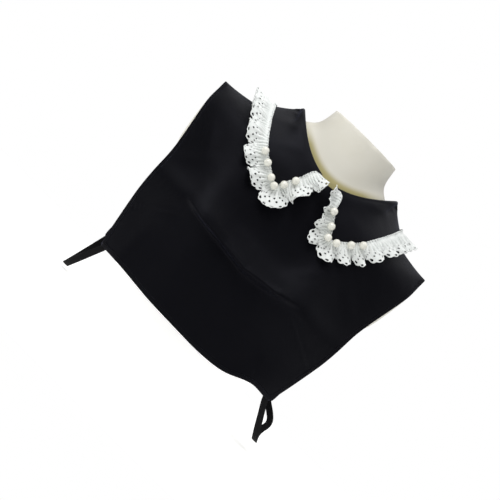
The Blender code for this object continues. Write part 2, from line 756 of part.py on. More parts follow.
def make_pearls(tag, side, frames):
    """The pearls of one collar half, sewn through the gather line."""
    rise = COLLAR_CLOTH / 2 + 5 * SEAM + LACE_WALL + PEARL_RADIUS
    for number, at in enumerate(PEARLS_AT[side], 1):
        _, place, away, normal, _, _ = min(frames, key=lambda frame: abs(frame[0] - at))
        maker = bmesh.new()
        bmesh.ops.create_icosphere(maker, subdivisions=2, radius=PEARL_RADIUS)
        mesh = bpy.data.meshes.new(f"pearl_{tag}_{number}")
        maker.to_mesh(mesh)
        maker.free()
        mesh.materials.append(PEARL)
        shade(mesh)
        pearl = bpy.data.objects.new(f"pearl_{tag}_{number}", mesh)
        pearl.location = on_side([place - away * PEARL_INSET + normal * rise], side)[0]
        bpy.context.scene.collection.objects.link(pearl)


# The straps: from inside the front hem's corner, down in a loop, and up inside the back's corner
Loop = namedtuple("Loop", "name side low_x low_z turned turned_from bowed")
LOOPS = [
    Loop("strap_left", -1, 0.1550, 0.0050, 0.35, 0.00, 0.0),
    Loop("strap_right", 1, 0.1645, 0.0155, 0.90, 0.25, 0.0125),
]
STRAP_INSET = 0.001
STRAP_ROOT = [0.30, 0.17, 0.04]
STRAP_FREE = 28
STRAP_SAG = 1.7
STRAP_BOW = 1.35


def strap_root(face, side):
    """Rows of three points inside a panel's hem corner, from above the hem down to it."""
    corner = cloth_point(face, 1.0, LOW_ROW, side)
    hem = hem_down(face, 1.0, corner.x)
    rows = []
    for over in STRAP_ROOT:
        edge = cloth_point(face, 1.0, hem - over, 1, CLOTH).x - STRAP_INSET
        columns = [column_at(face, hem - over, edge - STRAP_WIDTH * k / 2) for k in (2, 1, 0)]
        rows.append(
            [cloth_point(face, c, hem - over, side, -2 * SEAM - STRAP_WALL / 2) for c in columns]
        )
    return rows


def strap_line(front, back, low_x, low_z, bowed):
    """The free run's middle line: straight as seen from the front, its back half bowed outwards."""
    made = []
    for k in range(1, STRAP_FREE):
        share = k / STRAP_FREE
        end = front if share < 0.5 else back
        up = abs(2 * share - 1) ** STRAP_SAG
        y = front.y + (back.y - front.y) * share
        bow = bowed * sin(pi * up**STRAP_BOW) ** 2 if share > 0.5 else 0.0
        x = low_x + (end.x - low_x) * up + bow
        made.append(Vector((x, y, low_z + (end.z - low_z) * up)))
    return made


def make_strap(loop):
    """A flat elastic strap that joins the front's hem corner to the back's, hanging in a loop."""
    front = strap_root(FRONT, loop.side)
    back = strap_root(BACK, loop.side)
    low_x, bowed = loop.side * loop.low_x, loop.side * loop.bowed
    line = strap_line(front[-1][1], back[-1][1], low_x, loop.low_z, bowed)
    wides = [(rows[-1][2] - rows[-1][0]).normalized() for rows in (front, back)]
    free = []
    for k, place in enumerate(line):
        share = (k + 1) / STRAP_FREE
        ahead = line[min(k + 1, len(line) - 1)]
        behind = line[max(k - 1, 0)]
        wide = wides[0].lerp(wides[1], ease(share))
        turned = loop.turned * ease(3 * (share - loop.turned_from)) * ease(3 * (1 - share))
        wide = wide.lerp(Vector((loop.side, 0.0, 0.0)), turned)
        run = (ahead - behind).normalized()
        wide = (wide - run * wide.dot(run)).normalized()
        free.append([place + wide * STRAP_WIDTH * across for across in (-0.5, 0.0, 0.5)])
    sheet(loop.name, front + free + back[::-1], STRAP_WALL, ELASTIC)


BUTTON_HEIGHTS = [0.236, 0.172, 0.108]


def make_buttons():
    """Three flat round buttons down the back opening."""
    for number, height in enumerate(BUTTON_HEIGHTS, 1):
        down = down_at(BACK, 0.0, height)
        seat = cloth_point(BACK, 0.0, down, 1, CLOTH + BACK_LAP)
        up = cloth_point(BACK, 0.0, down - 0.1, 1) - cloth_point(BACK, 0.0, down + 0.1, 1)
        way = up.cross(Vector((1, 0, 0))).normalized()
        maker = bmesh.new()
        bmesh.ops.create_cone(
            maker,
            cap_ends=True,
            segments=20,
            radius1=BUTTON_RADIUS,
            radius2=BUTTON_RADIUS * BUTTON_TAPER,
            depth=BUTTON_WALL,
        )
        mesh = bpy.data.meshes.new(f"button_{number}")
        maker.to_mesh(mesh)
        maker.free()
        mesh.materials.append(BUTTON)
        shade(mesh)
        button = bpy.data.objects.new(f"button_{number}", mesh)
        button.location = seat + way * (2 * SEAM + BUTTON_WALL / 2)
        button.rotation_mode = "QUATERNION"
        button.rotation_quaternion = way.to_track_quat("Z", "Y")
        bpy.context.scene.collection.objects.link(button)


make_form()
make_front()
make_back("back_left", -1, False)
make_back("back_right", 1, True)
make_collar("collar_left", -1)
make_collar("collar_right", 1)
for tag, side in (("left", -1), ("right", 1)):
    side_frames = lace_frames(side)
    make_lace(f"lace_{tag}", side, side_frames)
    make_pearls(tag, side, side_frames)
for loop in LOOPS:
    make_strap(loop)
make_buttons()
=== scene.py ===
"""A black half-shirt collar with a gathered eyelet lace edge and pearls, worn on a bust form.

Metres, +Z up and the front towards -Y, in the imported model's own frame.
"""

from math import atan2, cos, degrees, exp, hypot, pi, radians, sin

import bmesh
import bpy
from mathutils import Matrix, Vector
from mathutils.bvhtree import BVHTree
from mathutils.kdtree import KDTree


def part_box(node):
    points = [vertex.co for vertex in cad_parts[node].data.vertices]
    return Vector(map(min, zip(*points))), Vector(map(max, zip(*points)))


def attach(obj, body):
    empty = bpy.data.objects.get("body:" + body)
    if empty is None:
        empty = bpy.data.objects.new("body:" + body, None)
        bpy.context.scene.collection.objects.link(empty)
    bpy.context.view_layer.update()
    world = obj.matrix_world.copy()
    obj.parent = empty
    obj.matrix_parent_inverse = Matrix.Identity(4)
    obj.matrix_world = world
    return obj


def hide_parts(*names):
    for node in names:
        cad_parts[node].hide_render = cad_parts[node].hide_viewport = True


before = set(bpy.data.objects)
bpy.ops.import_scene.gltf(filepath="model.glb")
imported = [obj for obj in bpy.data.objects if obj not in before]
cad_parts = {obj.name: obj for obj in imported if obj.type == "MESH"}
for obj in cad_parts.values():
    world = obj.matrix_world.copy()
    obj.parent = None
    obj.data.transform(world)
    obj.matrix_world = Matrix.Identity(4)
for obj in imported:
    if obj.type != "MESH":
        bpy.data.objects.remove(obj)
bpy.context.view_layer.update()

# Camera: a long lens level with the bust, straight in front of it. It is turned an eighth of a turn,
# so that the neck points to the upper right corner.
AIM = Vector((-0.0055, -0.05, 0.1785))
SEEN_ACROSS = 0.61
CAMERA_AWAY = 4.0
SENSOR = 36.0
LEAN = sin(pi / 4)
camera_data = bpy.data.cameras.new("camera")
camera_data.sensor_width = SENSOR
camera_data.lens = SENSOR * CAMERA_AWAY / SEEN_ACROSS
camera = bpy.data.objects.new("camera", camera_data)
turned = Matrix(((LEAN, -LEAN, 0), (0, 0, -1), (LEAN, LEAN, 0))).to_4x4()
camera.matrix_world = Matrix.Translation(AIM + Vector((0, -CAMERA_AWAY, 0))) @ turned
bpy.context.scene.collection.objects.link(camera)
bpy.context.scene.camera = camera


# Studio: a soft box overhead and towards the front left, a weaker one low on the right, and a pale room
# that is brightest overhead. The floor is a round of matt white paper that the form stands on.
def linear(hex_colour):
    """An sRGB hex colour as linear red, green, blue and alpha."""
    parts = [int(hex_colour[i : i + 2], 16) / 255 for i in (1, 3, 5)]
    return [c / 12.92 if c <= 0.04045 else ((c + 0.055) / 1.055) ** 2.4 for c in parts] + [1.0]


def add(tree, kind, settings=(), links=()):
    """A node with its settings, by property or socket, and its links, by socket."""
    made = tree.nodes.new(kind)
    for name, value in dict(settings).items():
        if isinstance(name, str) and hasattr(made, name):
            setattr(made, name, value)
        else:
            made.inputs[name].default_value = value
    for name, source in dict(links).items():
        tree.links.new(source, made.inputs[name])
    return made


def material(name):
    """An empty material and its node tree."""
    made = bpy.data.materials.new(name)
    made.use_nodes = True
    made.node_tree.nodes.clear()
    return made, made.node_tree


def show(tree, shader):
    """The shader goes to the material's output."""
    add(tree, "ShaderNodeOutputMaterial", links={"Surface": shader.outputs[0]})


def soft_box(name, place, aim, across, watts):
    """A square soft light that looks at a point."""
    data = bpy.data.lights.new(name, "AREA")
    data.shape = "SQUARE"
    data.size = across
    data.energy = watts
    lamp = bpy.data.objects.new(name, data)
    lamp.matrix_world = Matrix.Translation(place) @ (Vector(place) - Vector(aim)).to_track_quat(
        "Z", "Y"
    ).to_matrix().to_4x4()
    bpy.context.scene.collection.objects.link(lamp)


BUST = (0, 0, 0.2)
soft_box("overhead_box", (-0.75, -0.6, 1.3), BUST, 0.5, 8.5)
soft_box("low_box", (2.4, -0.8, 0.75), BUST, 1.2, 4.5)

room = bpy.data.worlds.new("room")
room.use_nodes = True
bpy.context.scene.world = room
tree = room.node_tree
tree.nodes.clear()
upward = add(tree, "ShaderNodeSeparateXYZ", links={0: add(tree, "ShaderNodeTexCoord").outputs["Generated"]})
ceiling = add(
    tree,
    "ShaderNodeMapRange",
    {"interpolation_type": "SMOOTHSTEP", "From Min": 0.1, "From Max": 0.95, "To Min": 0.17, "To Max": 1.6},
    {"Value": upward.outputs["Z"]},
)
glow = add(tree, "ShaderNodeBackground", links={"Strength": ceiling.outputs[0]})
backdrop = add(tree, "ShaderNodeBackground", {"Color": (1, 1, 1, 1), "Strength": 1.0})
seen = add(tree, "ShaderNodeLightPath").outputs["Is Camera Ray"]
walls = add(tree, "ShaderNodeMixShader", links={0: seen, 1: glow.outputs[0], 2: backdrop.outputs[0]})
add(tree, "ShaderNodeOutputWorld", links={"Surface": walls.outputs[0]})
bpy.context.scene.view_settings.view_transform = "Standard"

paper, tree = material("matt white paper floor")
grain = add(tree, "ShaderNodeTexNoise", {"Scale": 900.0, "Detail": 2.0})
tooth = add(tree, "ShaderNodeBump", {"Strength": 0.1, "Distance": 0.0002}, {"Height": grain.outputs[0]})
sheet_white = add(
    tree,
    "ShaderNodeBsdfPrincipled",
    {"Base Color": linear("#D2D2D0"), "Roughness": 0.9, "Emission Color": (1, 1, 1, 1), "Emission Strength": 0.55},
    {"Normal": tooth.outputs[0]},
)
show(tree, sheet_white)
bm = bmesh.new()
bmesh.ops.create_circle(bm, cap_ends=True, segments=96, radius=1.5)
floor_mesh = bpy.data.meshes.new("floor")
bm.to_mesh(floor_mesh)
bm.free()
floor_mesh.materials.append(paper)
floor = bpy.data.objects.new("floor", floor_mesh)
bpy.context.scene.collection.objects.link(floor)


# Dress form: a moulded torso with a flat-cut neck, under a close cover of unbleached cotton jersey
# that is glued down. The neck's own piece is sewn on just above the shoulders, and a band round its root is a deeper
# yellow.
def merged(node):
    """The node's loose triangles as one mesh of quads."""
    bm = bmesh.new()
    bm.from_mesh(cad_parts[node].data)
    bmesh.ops.remove_doubles(bm, verts=bm.verts, dist=1e-6)
    bmesh.ops.join_triangles(bm, faces=bm.faces, angle_face_threshold=0.7, angle_shape_threshold=1.2)
    return bm


def piece(name, bm, finish, nodes=(), levels=0):
    """An object of the mesh in that finish, which stands for the nodes and rides on the body."""
    mesh = bpy.data.meshes.new(name)
    bm.to_mesh(mesh)
    bm.free()
    for polygon in mesh.polygons:
        polygon.use_smooth = True
    mesh.materials.append(finish)
    made = bpy.data.objects.new(name, mesh)
    bpy.context.scene.collection.objects.link(made)
    if levels:
        rounding = made.modifiers.new("rounding", "SUBSURF")
        rounding.levels = rounding.render_levels = levels
    if nodes:
        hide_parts(*nodes)
    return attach(made, "root")


def settled(made):
    """The object's modifiers are applied, and its mesh comes back as a bmesh to work on."""
    bpy.context.view_layer.update()
    graph = bpy.context.evaluated_depsgraph_get()
    bm = bmesh.new()
    bm.from_mesh(bpy.data.meshes.new_from_object(made.evaluated_get(graph)))
    made.modifiers.clear()
    return bm


def woven(tree, thread):
    """The height of a plain weave with that thread spacing in metres, on cloth that faces any way."""
    coordinates = add(tree, "ShaderNodeTexCoord").outputs
    scaled = add(tree, "ShaderNodeVectorMath", {"operation": "SCALE", "Scale": pi / thread}, {0: coordinates["Object"]})
    waves = add(tree, "ShaderNodeVectorMath", {"operation": "SINE"}, {0: scaled.outputs[0]})
    parts = add(tree, "ShaderNodeSeparateXYZ", links={0: waves.outputs[0]}).outputs
    crossings = [
        add(tree, "ShaderNodeMath", {"operation": "MULTIPLY"}, {0: parts[a], 1: parts[b]}).outputs[0]
        for a, b in ("YZ", "XZ", "XY")
    ]
    joined = add(tree, "ShaderNodeCombineXYZ", links=dict(enumerate(crossings)))
    facing = coordinates["Normal"]
    share = add(tree, "ShaderNodeVectorMath", {"operation": "MULTIPLY"}, {0: facing, 1: facing})
    return add(
        tree, "ShaderNodeVectorMath", {"operation": "DOT_PRODUCT"}, {0: joined.outputs[0], 1: share.outputs[0]}
    ).outputs["Value"]


# Unbleached cotton jersey: cream, matt, with soft blotches where the glue has yellowed it. The tape round
# the neck's root is a deeper yellow, fading out upwards and weaker at the sides.
jersey, tree = material("unbleached cotton jersey")
place = add(tree, "ShaderNodeTexCoord").outputs["Object"]
blotches = add(tree, "ShaderNodeTexNoise", {"Scale": 22.0, "Detail": 4.0}, {"Vector": place})
tint = add(
    tree,
    "ShaderNodeMix",
    {"data_type": "RGBA", "A": linear("#E0DED5"), "B": linear("#D6D2C4")},
    {"Factor": blotches.outputs[0]},
)
taped = add(tree, "ShaderNodeAttribute", {"attribute_name": "tape"}).outputs["Fac"]
yellowed = add(
    tree,
    "ShaderNodeMix",
    {"data_type": "RGBA", "B": linear("#A1986A")},
    {"Factor": taped, "A": tint.outputs["Result"]},
)
knit = add(tree, "ShaderNodeBump", {"Strength": 0.35, "Distance": 0.0002}, {"Height": woven(tree, 0.0009)})
edge_of_tape = add(tree, "ShaderNodeBump", {"Strength": 0.6, "Distance": 0.0008}, {"Height": taped, "Normal": knit.outputs[0]})
cover = add(
    tree,
    "ShaderNodeBsdfPrincipled",
    {"Roughness": 0.9, "Specular IOR Level": 0.25, "Sheen Weight": 0.15},
    {"Base Color": yellowed.outputs["Result"], "Normal": edge_of_tape.outputs[0]},
)
show(tree, cover)

# White lacquer on the turned wooden base: brushed, with a low satin gloss, and a painted glow: the base shines with
# light of its own.
lacquer, tree = material("white satin lacquer on wood with painted glow")
place = add(tree, "ShaderNodeTexCoord").outputs["Object"]
stretched = add(tree, "ShaderNodeMapping", {"Scale": (40.0, 40.0, 600.0)}, {"Vector": place})
brushed = add(tree, "ShaderNodeTexNoise", {"Scale": 1.0, "Detail": 3.0}, {"Vector": stretched.outputs[0]})
lacquer_tint = add(
    tree,
    "ShaderNodeMix",
    {"data_type": "RGBA", "A": linear("#FBFBFA"), "B": linear("#F3F3F1")},
    {"Factor": brushed.outputs[0]},
)
strokes = add(tree, "ShaderNodeBump", {"Strength": 0.15, "Distance": 0.0002}, {"Height": brushed.outputs[0]})
# Painted glow: the emission makes the white base shine with light of its own.
lacquer_with_painted_glow = add(
    tree,
    "ShaderNodeBsdfPrincipled",
    {"Roughness": 0.45, "Emission Color": (1, 1, 1, 1), "Emission Strength": 0.35},
    {"Base Color": lacquer_tint.outputs["Result"], "Normal": strokes.outputs[0]},
)
show(tree, lacquer_with_painted_glow)

BASE_TOP = 0.075
TAPE_FRONT, TAPE_SIDE, TAPE_BACK = 0.3175, 0.3440, 0.3440
TAPE_FADE = 0.009
TAPE_REACH = (0.080, 0.072)
bm = merged("dress_form")
bmesh.ops.bisect_plane(
    bm, geom=bm.verts[:] + bm.edges[:] + bm.faces[:], plane_co=(0, 0, BASE_TOP), plane_no=(0, 0, 1)
)
creases = bm.edges.layers.float.new("crease_edge")
for edge in bm.edges:
    if edge.is_manifold and edge.calc_face_angle() > radians(50):
        edge[creases] = 0.8
form = piece("form", bm, jersey, ["dress_form"], levels=2)
bm = settled(form)
tape = bm.verts.layers.float.new("tape")
# The tape: a deeper yellow below its top line, fading out upwards over TAPE_FADE, and weaker at the sides than at front
# and back.
for vertex in bm.verts:
    x, y, z = vertex.co
    if z < 0.28:
        continue
    if hypot(x / TAPE_REACH[0], y / TAPE_REACH[1]) > 1:
        continue
    around = y * y / max(1e-9, x * x + y * y)
    middle = TAPE_FRONT if y < 0 else TAPE_BACK
    top = TAPE_SIDE + (middle - TAPE_SIDE) * around
    under = max(0.0, min(1.0, (top - z) / TAPE_FADE))
    vertex[tape] = under * under * (3 - 2 * under) * (0.25 + 0.75 * min(1.0, around * 2))
form.data.materials.append(lacquer)
for face in bm.faces:
    face.smooth = True
    face.material_index = 1 if face.calc_center_median().z < BASE_TOP else 0
bm.to_mesh(form.data)
bm.free()


# Front and back of the half shirt: three pieces of black cotton and polyester suiting, a plain weave
# with a dry handle. The armholes and hems are turned in twice and stitched down, and a dart at each
# side of the front ends at the bust.
HEM = 0.006
HEM_STITCH = 0.0052


def outer_wall(node):
    """The outward wall alone of a cloth node, as a mesh of quads."""
    bm = merged(node)
    rims = {edge for edge in bm.edges if edge.is_manifold and edge.calc_face_angle() > radians(62)}
    left = set(bm.faces)
    regions = []
    while left:
        first = left.pop()
        region = {first}
        front = [first]
        while front:
            face = front.pop()
            for edge in face.edges:
                if edge in rims:
                    continue
                for other in edge.link_faces:
                    if other in left:
                        left.remove(other)
                        region.add(other)
                        front.append(other)
        regions.append(region)
    large = sorted(regions, key=lambda region: -sum(face.calc_area() for face in region))[:2]

    def outwardness(region):
        return sum(
            face.calc_area() * face.normal.dot(face.calc_center_median() - Vector((0, 0, 0.2)))
            for face in region
        )

    kept = max(large, key=outwardness)
    bmesh.ops.delete(bm, geom=[face for face in bm.faces if face not in kept], context="FACES")
    return bm


def hem_distances(bm, on_hem):
    """A point attribute with each place's distance from the turned-in edges, in metres."""
    rim = []
    for edge in bm.edges:
        if not edge.is_boundary:
            continue
        a, b = (vertex.co for vertex in edge.verts)
        steps = max(1, int((b - a).length / 0.001))
        rim += [a.lerp(b, i / steps) for i in range(steps + 1)]
    rim = [point for point in rim if on_hem(point)]
    tree = KDTree(len(rim))
    for i, point in enumerate(rim):
        tree.insert(point, i)
    tree.balance()
    layer = bm.verts.layers.float.new("hem")
    for vertex in bm.verts:
        vertex[layer] = tree.find(vertex.co)[2]


# Black suiting: yarn-dyed, almost black with a little blue, dry and matt, with a low bloom on top
# of folds. Threads are 0.35 mm apart and drawn at 0.7 mm so that they show.
def suiting(name, with_hem, shine):
    made, tree = material(name)
    place = add(tree, "ShaderNodeTexCoord").outputs["Object"]
    weave = woven(tree, 0.0007)
    fade = add(tree, "ShaderNodeTexNoise", {"Scale": 14.0, "Detail": 5.0, "Roughness": 0.6}, {"Vector": place})
    slubs = add(tree, "ShaderNodeTexNoise", {"Scale": 600.0, "Detail": 2.0}, {"Vector": place})
    blend = add(tree, "ShaderNodeMath", {"operation": "MULTIPLY"}, {0: fade.outputs[0], 1: slubs.outputs[0]})
    colour = add(
        tree,
        "ShaderNodeMix",
        {"data_type": "RGBA", "A": linear("#040406"), "B": linear("#09090D")},
        {"Factor": blend.outputs[0]},
    )
    threads = add(tree, "ShaderNodeBump", {"Strength": 0.45, "Distance": 0.00015}, {"Height": weave})
    wear = add(tree, "ShaderNodeTexNoise", {"Scale": 60.0, "Detail": 3.0}, {"Vector": place})
    soft = add(
        tree, "ShaderNodeBump", {"Strength": 0.25, "Distance": 0.0012}, {"Height": wear.outputs[0], "Normal": threads.outputs[0]}
    )
    normal = soft.outputs[0]
    if with_hem:
        inside = add(tree, "ShaderNodeAttribute", {"attribute_name": "hem"}).outputs["Fac"]
        step = add(
            tree,
            "ShaderNodeMapRange",
            {"interpolation_type": "SMOOTHSTEP", "From Min": HEM + 0.0008, "From Max": HEM - 0.0004},
            {"Value": inside},
        )
        seam = add(
            tree,
            "ShaderNodeMath",
            {"operation": "COMPARE", 1: HEM_STITCH, 2: 0.0005},
            {0: inside},
        )
        height = add(
            tree, "ShaderNodeMath", {"operation": "MULTIPLY_ADD", 1: -0.5}, {0: seam.outputs[0], 2: step.outputs[0]}
        )
        normal = add(
            tree, "ShaderNodeBump", {"Strength": 0.9, "Distance": 0.0006}, {"Height": height.outputs[0], "Normal": normal}
        ).outputs[0]
    cloth = add(
        tree,
        "ShaderNodeBsdfPrincipled",
        {
            "Roughness": 0.5,
            "Specular IOR Level": shine,
            "Specular Tint": linear("#D0D2E6"),
            "Sheen Weight": 0.32,
            "Sheen Roughness": 0.3,
            "Sheen Tint": linear("#888DB0"),
        },
        {"Base Color": colour.outputs["Result"], "Normal": normal},
    )
    show(tree, cloth)
    return made


shirt_cloth = suiting("black suiting with turned hems", True, 0.08)
CLOTH = 0.0015
SEAM_LAP = 0.0005


def cloth_piece(name, node, on_hem, levels=2, raised=None):
    """A panel made from the node's outward wall, made finer, shaped, and given its thickness."""
    made = piece(name, outer_wall(node), shirt_cloth, [node], levels=levels)
    bm = settled(made)
    if raised:
        bm.normal_update()
        heights = [raised(vertex.co.x, vertex.co.z) for vertex in bm.verts]
        for vertex, height in zip(list(bm.verts), heights):
            vertex.co += vertex.normal * height
    middle_y = sum(vertex.co.y for vertex in bm.verts) / len(bm.verts)
    for vertex in bm.verts:
        if vertex.is_boundary and abs(vertex.co.y) < 0.006 and vertex.co.z > 0.3:
            vertex.co.y -= SEAM_LAP if middle_y > 0 else -SEAM_LAP
    hem_distances(bm, on_hem)
    bm.to_mesh(made.data)
    bm.free()
    thickness = made.modifiers.new("thickness", "SOLIDIFY")
    thickness.thickness = CLOTH
    thickness.offset = -1
    return made


def front_hem(point):
    return point.z < 0.302 and (abs(point.x) > 0.125 or point.z < 0.1)


def back_hem(point):
    return point.z < 0.302 and (abs(point.x) > 0.125 or point.z < 0.1 or abs(point.x) < 0.02)


# Black polyester sewing thread, three-ply and slightly shiny, for every seam on the black cloth.
thread_black, tree = material("black polyester thread")
ply = add(tree, "ShaderNodeBump", {"Strength": 0.5, "Distance": 0.0001}, {"Height": woven(tree, 0.0004)})
thread_shader = add(
    tree,
    "ShaderNodeBsdfPrincipled",
    {"Base Color": linear("#060608"), "Roughness": 0.5, "Specular IOR Level": 0.1},
    {"Normal": ply.outputs[0]},
)
show(tree, thread_shader)
STITCH = 0.0024
STITCH_PITCH = 0.0034


def stitches(name, made, on_hem):
    """A row of lockstitches along the panel's hems, each a short length of thread on the cloth."""
    bm = bmesh.new()
    bm.from_mesh(made.data)
    surface = BVHTree.FromBMesh(bm)
    sewn = bmesh.new()
    for edge in bm.edges:
        if not edge.is_boundary or not all(on_hem(vertex.co) for vertex in edge.verts):
            continue
        a, b = (vertex.co for vertex in edge.verts)
        face = edge.link_faces[0]
        run = (b - a).normalized()
        inwards = run.cross(face.normal).normalized()
        if inwards.dot(face.calc_center_median() - a) < 0:
            inwards.negate()
        count = max(1, round((b - a).length / STITCH_PITCH))
        for i in range(count):
            place = a.lerp(b, (i + 0.5) / count) + inwards * HEM_STITCH
            near, normal, _, _ = surface.find_nearest(place)
            across = normal.cross(run).normalized()
            turn = Matrix((run, across, normal)).transposed().to_4x4()
            length = min(STITCH, (b - a).length / count * 0.75)
            size = Matrix.Diagonal((length, 0.0005, 0.0004, 1))
            bmesh.ops.create_cube(sewn, size=1, matrix=Matrix.Translation(near) @ turn @ size)
    bm.free()
    return piece(name, sewn, thread_black)


# The line under the bust, where the cloth turns in, and the darts: x and z of each end, in metres.
BUST_LINE = [(-0.104, 0.171), (-0.060, 0.166), (0.006, 0.158), (0.050, 0.164), (0.088, 0.174)]
DARTS = [(-0.145, 0.116, -0.093, 0.152), (0.149, 0.125, 0.086, 0.158)]
# Soft folds: x and z of both ends, height and spread, in metres.
FRONT_FOLDS = [
    (-0.108, 0.122, -0.114, 0.044, 0.0014, 0.008),
    (-0.158, 0.186, -0.104, 0.232, 0.0012, 0.009),
    (-0.150, 0.262, -0.118, 0.214, 0.0011, 0.008),
    (0.156, 0.196, 0.098, 0.236, 0.0011, 0.009),
    (0.080, 0.226, 0.044, 0.182, 0.0010, 0.007),
    (0.092, 0.100, 0.112, 0.062, 0.0014, 0.008),
]


def folded(x, z, folds):
    """How far the soft folds raise the cloth at a place seen from the front."""
    total = 0.0
    for x0, z0, x1, z1, height, spread in folds:
        run = Vector((x1 - x0, z1 - z0))
        place = Vector((x - x0, z - z0))
        share = place.dot(run) / run.length_squared
        if 0 < share < 1:
            off = run.cross(place) / run.length
            total += height * sin(pi * share) * exp(-((off / spread) ** 2))
    return total


def front_raised(x, z):
    """How far the front panel stands out over its plain shape: the bust line and the darts."""
    total = folded(x, z, FRONT_FOLDS)
    for (x0, z0), (x1, z1) in zip(BUST_LINE, BUST_LINE[1:]):
        if x0 <= x < x1:
            above = z - (z0 + (z1 - z0) * (x - x0) / (x1 - x0))
            lip = exp(-above / 0.0095) if above > 0 else exp(-((above / 0.0042) ** 2))
            ends = min(1.0, (x - BUST_LINE[0][0]) / 0.03, (BUST_LINE[-1][0] - x) / 0.03)
            total += 0.0088 * max(0.0, ends) * lip
    for x0, z0, x1, z1 in DARTS:
        run = Vector((x1 - x0, z1 - z0))
        place = Vector((x - x0, z - z0))
        share = place.dot(run) / run.length_squared
        if 0 <= share <= 1:
            off = run.cross(place) / run.length * (1 if x0 < 0 else -1)
            side_of = 0.0011 if off > 0 else -0.0011
            total += side_of * (1 - share) ** 0.5 * exp(-abs(off) / 0.004) * min(1.0, abs(off) / 0.001)
    return total


front = cloth_piece(
    "front", "front_panel", front_hem, levels=3, raised=front_raised
)
stitches("front_topstitching", front, front_hem)
left_back = cloth_piece("back_left_half", "back_left", back_hem)
right_back = cloth_piece("back_right_half", "back_right", back_hem)
stitches("back_left_topstitching", left_back, back_hem)
stitches("back_right_topstitching", right_back, back_hem)


# Collar: two halves, each with a low stand folded over into a fall with a point at the front. They
# are cut double in the same suiting and pressed.
collar_cloth = suiting("black suiting, pressed double", False, 0.13)
COLLAR_CLOTH = 0.0016
COLLAR_FOLDS = {
    "collar_left": [(-0.100, 0.312, -0.058, 0.330, 0.0009, 0.005), (-0.092, 0.288, -0.040, 0.312, 0.0009, 0.006)],
    "collar_right": [(0.052, 0.318, 0.096, 0.334, 0.0009, 0.005), (0.040, 0.296, 0.080, 0.290, 0.0008, 0.006)],
}
for node, folds in COLLAR_FOLDS.items():
    made = piece(node + "_fall", outer_wall(node), collar_cloth, [node], levels=2)
    bm = settled(made)
    bm.normal_update()
    heights = [folded(vertex.co.x, vertex.co.z, folds) if vertex.co.y < 0 else 0.0 for vertex in bm.verts]
    for vertex, height in zip(list(bm.verts), heights):
        vertex.co += vertex.normal * height
    bm.to_mesh(made.data)
    bm.free()
    thickness = made.modifiers.new("thickness", "SOLIDIFY")
    thickness.thickness = COLLAR_CLOTH
    thickness.offset = -1


# Lace: a band of white cotton eyelet lace for each half, 28 mm wide. It is embroidered in fans, each
# edged with ring petals, and it is gathered onto the collar's edge so that each fan is a flute.
LACE_ROWS = 5
LACE_ACROSS = [-0.0040, 0.0, 0.0070, 0.0155, 0.0245]
HEADING, LACE_OUT = -LACE_ACROSS[0], LACE_ACROSS[-1]
LEAN_OVER = {-1: 0.0080, 1: 0.0035}
BELLY = {-1: 0.0026, 1: 0.0022}
PETALS = {-1: 7, 1: 5}
# Where one fan ends and the next begins along the gathering, as in the photo, and the pitch after.
VALLEYS = {
    -1: [-0.0060, 0.0184, 0.0500, 0.0670, 0.0920, 0.1180, 0.1470],
    1: [-0.0060, 0.0140, 0.0340, 0.0550, 0.0655, 0.0790, 0.0980, 0.1130, 0.1345, 0.1550],
}
FAN_PITCH = {-1: 0.0290, 1: 0.0205}
CELLS = 5
FAN_DEPTH = {-1: 0.0125, 1: 0.0130}
FAN_POINT = {-1: 2.2, 1: 1.3}
FAN_REACH = {-1: 0.0028, 1: 0.0012}
PETAL_DEPTH = 0.0026
PICOT_DEPTH = 0.0022
LACE_CLOTH = 0.0009
END_REACH = {-1: 0.0015, 1: 0.0022}
END_CUT = {-1: 0.0060, 1: 0.0090}
LACE_RIM = 0.0016


def steps_from(starts):
    """How many edges each vertex is away from the given ones."""
    found = {vertex: 0 for vertex in starts}
    front = list(starts)
    while front:
        following = []
        for vertex in front:
            for edge in vertex.link_edges:
                other = edge.other_vert(vertex)
                if other not in found:
                    found[other] = found[vertex] + 1
                    following.append(other)
        front = following
    return found


def wall_rows(wall):
    """The places of one wall of a lace solid, as rows along the band, from the heading outwards."""
    loop = [next(edge for edge in wall.edges if edge.is_boundary).verts[0]]
    while True:
        onward = [
            edge.other_vert(loop[-1])
            for edge in loop[-1].link_edges
            if edge.is_boundary and edge.other_vert(loop[-1]) not in loop[-2:]
        ]
        if not onward or onward[0] is loop[0]:
            break
        loop.append(onward[0])
    count = len(loop)
    stations = (count + 4) // 2 - LACE_ROWS

    def turn(i):
        before = loop[i % count].co - loop[(i - 1) % count].co
        return before.angle(loop[(i + 1) % count].co - loop[i % count].co)

    sides = (0, LACE_ROWS - 1, LACE_ROWS + stations - 2, 2 * LACE_ROWS + stations - 3)
    first = max(range(count), key=lambda k: sum(turn(k + side) for side in sides))
    ends = [
        [loop[(first + sides[k] + i) % count] for i in range(LACE_ROWS)] for k in (0, 2)
    ]
    start = min(ends, key=lambda end: sum(vertex.co.y for vertex in end))
    corners = [start[0], start[-1]]
    inner = min(corners, key=lambda vertex: vertex.co.xy.length)
    along = steps_from(start)
    long_sides = [
        [loop[(first + sides[k] + i) % count] for i in range(stations)] for k in (1, 3)
    ]
    heading = next(side for side in long_sides if inner in side)
    across = steps_from(heading)
    rows = [[None] * stations for _ in range(LACE_ROWS)]
    for vertex in wall.verts:
        rows[across[vertex]][along[vertex]] = vertex.co.copy()
    return rows


